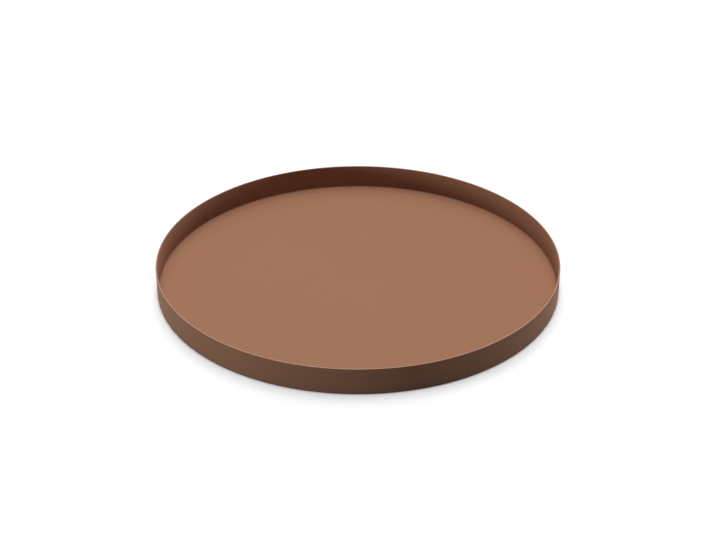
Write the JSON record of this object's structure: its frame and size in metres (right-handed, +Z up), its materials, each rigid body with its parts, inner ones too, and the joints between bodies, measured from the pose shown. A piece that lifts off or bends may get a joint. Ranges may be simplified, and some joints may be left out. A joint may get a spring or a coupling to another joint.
{
  "type": "round tray",
  "caption": "Round flat serving tray of powder-coated sheet steel, with a low upright rim and thin pads under its floor.",
  "frame": {"origin": "centre of the tray, on the surface that it stands on", "axes": "+Z up out of the tray; the upright weld that closes the rim is at +Y"},
  "size_m": [0.3, 0.3, 0.02],
  "materials": {
    "powder_coat": "matt terracotta-brown powder coat on steel",
    "clear_polyurethane": "smooth clear polyurethane, slightly milky"
  },
  "bodies": {
    "root": {"floor_disc": "powder_coat", "floor_weld": "powder_coat", "rim_band": "powder_coat", "rim_seam_weld": "powder_coat", "pad_1": "clear_polyurethane", "pad_2": "clear_polyurethane", "pad_3": "clear_polyurethane", "pad_4": "clear_polyurethane"}
  },
  "joints": []
}
